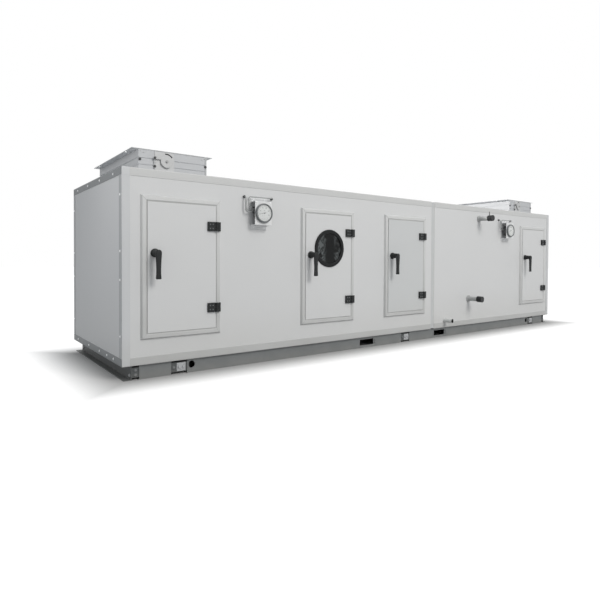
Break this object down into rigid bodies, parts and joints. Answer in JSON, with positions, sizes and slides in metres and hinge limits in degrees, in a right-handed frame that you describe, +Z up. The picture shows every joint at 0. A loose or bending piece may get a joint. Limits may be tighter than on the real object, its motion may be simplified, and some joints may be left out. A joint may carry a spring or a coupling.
{
  "type": "air handling unit",
  "caption": "Long box-shaped air handling unit on a channel base, with hinged access doors, roof dampers, pressure gauges, capped coil pipes and a drain.",
  "frame": {"origin": "on the floor under the middle of the overall outline", "axes": "+X along the length, +Z up, the doors face -Y"},
  "size_m": [4.5, 1.262, 1.29],
  "materials": {
    "base_paint": "satin grey paint",
    "zinc_plate": "zinc plated",
    "edge_profile": "satin anodised",
    "seam_strip": "satin",
    "panel_coat": "satin light grey coat",
    "door_profile": "satin anodised",
    "black_plastic": "fine grain",
    "window_glass": "dark, polished",
    "white_plate": "satin white",
    "gauge_case": "die cast, satin grey",
    "clear_tube": "clear",
    "pipe_steel": "satin",
    "damper_metal": "mill finish"
  },
  "bodies": {
    "casing": {"base_rails": "base_paint", "base_ends": "base_paint", "base_corner_plates": "base_paint", "base_splice_plates": "base_paint", "base_brackets": "zinc_plate", "corner_pieces": "edge_profile", "corner_posts": "edge_profile", "long_rails": "edge_profile", "end_rails": "edge_profile", "seam_posts": "seam_strip", "seam_beams": "seam_strip", "front_piers": "panel_coat", "front_headers": "panel_coat", "front_sills": "panel_coat", "back_panels": "panel_coat", "end_panels": "panel_coat", "roof_panel_left": "panel_coat", "roof_panel_right": "panel_coat", "floor_panels": "panel_coat", "door_frame_1": "door_profile", "door_frame_2": "door_profile", "door_frame_3": "door_profile", "door_frame_4": "door_profile", "hinge_bases": "black_plastic", "gauge_plates": "white_plate", "gauges": "gauge_case", "gauge_taps": "black_plastic", "gauge_tubes": "clear_tube", "coil_pipes": "pipe_steel", "pipe_caps": "black_plastic", "drain_pipe": "pipe_steel", "damper_frame_left": "damper_metal", "damper_frame_right": "damper_metal", "quadrant_plates": "zinc_plate"},
    "door_1": {"door_leaf_1": "panel_coat", "door_hinges_1": "black_plastic"},
    "handle_1": {"door_handle_1": "black_plastic"},
    "door_2": {"door_leaf_2": "panel_coat", "door_hinges_2": "black_plastic", "window_rim": "black_plastic", "window_glass": "window_glass"},
    "handle_2": {"door_handle_2": "black_plastic"},
    "door_3": {"door_leaf_3": "panel_coat", "door_hinges_3": "black_plastic"},
    "handle_3": {"door_handle_3": "black_plastic"},
    "door_4": {"door_leaf_4": "panel_coat", "door_hinges_4": "black_plastic"},
    "handle_4": {"door_handle_4": "black_plastic"},
    "blade_left_1": {"damper_blade_left_1": "damper_metal"},
    "blade_left_2": {"damper_blade_left_2": "damper_metal", "damper_lever_left": "zinc_plate"},
    "blade_left_3": {"damper_blade_left_3": "damper_metal"},
    "blade_left_4": {"damper_blade_left_4": "damper_metal"},
    "blade_right_1": {"damper_blade_right_1": "damper_metal"},
    "blade_right_2": {"damper_blade_right_2": "damper_metal", "damper_lever_right": "zinc_plate"},
    "blade_right_3": {"damper_blade_right_3": "damper_metal"},
    "blade_right_4": {"damper_blade_right_4": "damper_metal"}
  },
  "joints": [
    {"name": "door_1_hinge", "type": "hinge", "parent": "casing", "child": "door_1", "pos_m": [-1.70275, -0.5125, 0.613], "axis": [0, 0, 1], "range_deg": [0, 120]},
    {"name": "door_2_hinge", "type": "hinge", "parent": "casing", "child": "door_2", "pos_m": [-0.62275, -0.5125, 0.613], "axis": [0, 0, 1], "range_deg": [0, 120]},
    {"name": "door_3_hinge", "type": "hinge", "parent": "casing", "child": "door_3", "pos_m": [0.17725, -0.5125, 0.613], "axis": [0, 0, 1], "range_deg": [0, 120]},
    {"name": "door_4_hinge", "type": "hinge", "parent": "casing", "child": "door_4", "pos_m": [2.11725, -0.5125, 0.613], "axis": [0, 0, 1], "range_deg": [0, 120]},
    {"name": "door_1_handle", "type": "hinge", "parent": "door_1", "child": "handle_1", "pos_m": [-2.075, -0.502, 0.692], "axis": [0, -1, 0], "range_deg": [0, 90]},
    {"name": "door_2_handle", "type": "hinge", "parent": "door_2", "child": "handle_2", "pos_m": [-0.995, -0.502, 0.692], "axis": [0, -1, 0], "range_deg": [0, 90]},
    {"name": "door_3_handle", "type": "hinge", "parent": "door_3", "child": "handle_3", "pos_m": [-0.195, -0.502, 0.692], "axis": [0, -1, 0], "range_deg": [0, 90]},
    {"name": "door_4_handle", "type": "hinge", "parent": "door_4", "child": "handle_4", "pos_m": [1.745, -0.502, 0.692], "axis": [0, -1, 0], "range_deg": [0, 90]},
    {"name": "damper_left_blade_2", "type": "hinge", "parent": "casing", "child": "blade_left_2", "pos_m": [-1.947, 0.071, 1.228], "axis": [0, 1, 0], "range_deg": [0, 90]},
    {"name": "damper_left_blade_1", "type": "hinge", "parent": "casing", "child": "blade_left_1", "pos_m": [-2.043, 0.071, 1.228], "axis": [0, -1, 0], "range_deg": [0, 90]},
    {"name": "damper_left_blade_3", "type": "hinge", "parent": "casing", "child": "blade_left_3", "pos_m": [-1.851, 0.071, 1.228], "axis": [0, -1, 0], "range_deg": [0, 90]},
    {"name": "damper_left_blade_4", "type": "hinge", "parent": "casing", "child": "blade_left_4", "pos_m": [-1.755, 0.071, 1.228], "axis": [0, 1, 0], "range_deg": [0, 90]},
    {"name": "damper_right_blade_2", "type": "hinge", "parent": "casing", "child": "blade_right_2", "pos_m": [1.892, 0.071, 1.228], "axis": [0, 1, 0], "range_deg": [0, 90]},
    {"name": "damper_right_blade_1", "type": "hinge", "parent": "casing", "child": "blade_right_1", "pos_m": [1.796, 0.071, 1.228], "axis": [0, -1, 0], "range_deg": [0, 90]},
    {"name": "damper_right_blade_3", "type": "hinge", "parent": "casing", "child": "blade_right_3", "pos_m": [1.988, 0.071, 1.228], "axis": [0, -1, 0], "range_deg": [0, 90]},
    {"name": "damper_right_blade_4", "type": "hinge", "parent": "casing", "child": "blade_right_4", "pos_m": [2.084, 0.071, 1.228], "axis": [0, 1, 0], "range_deg": [0, 90]}
  ],
  "couplings": [
    {"joint": "damper_left_blade_1", "follows": "damper_left_blade_2", "ratio": 1},
    {"joint": "damper_left_blade_3", "follows": "damper_left_blade_2", "ratio": 1},
    {"joint": "damper_left_blade_4", "follows": "damper_left_blade_2", "ratio": 1},
    {"joint": "damper_right_blade_1", "follows": "damper_right_blade_2", "ratio": 1},
    {"joint": "damper_right_blade_3", "follows": "damper_right_blade_2", "ratio": 1},
    {"joint": "damper_right_blade_4", "follows": "damper_right_blade_2", "ratio": 1}
  ]
}
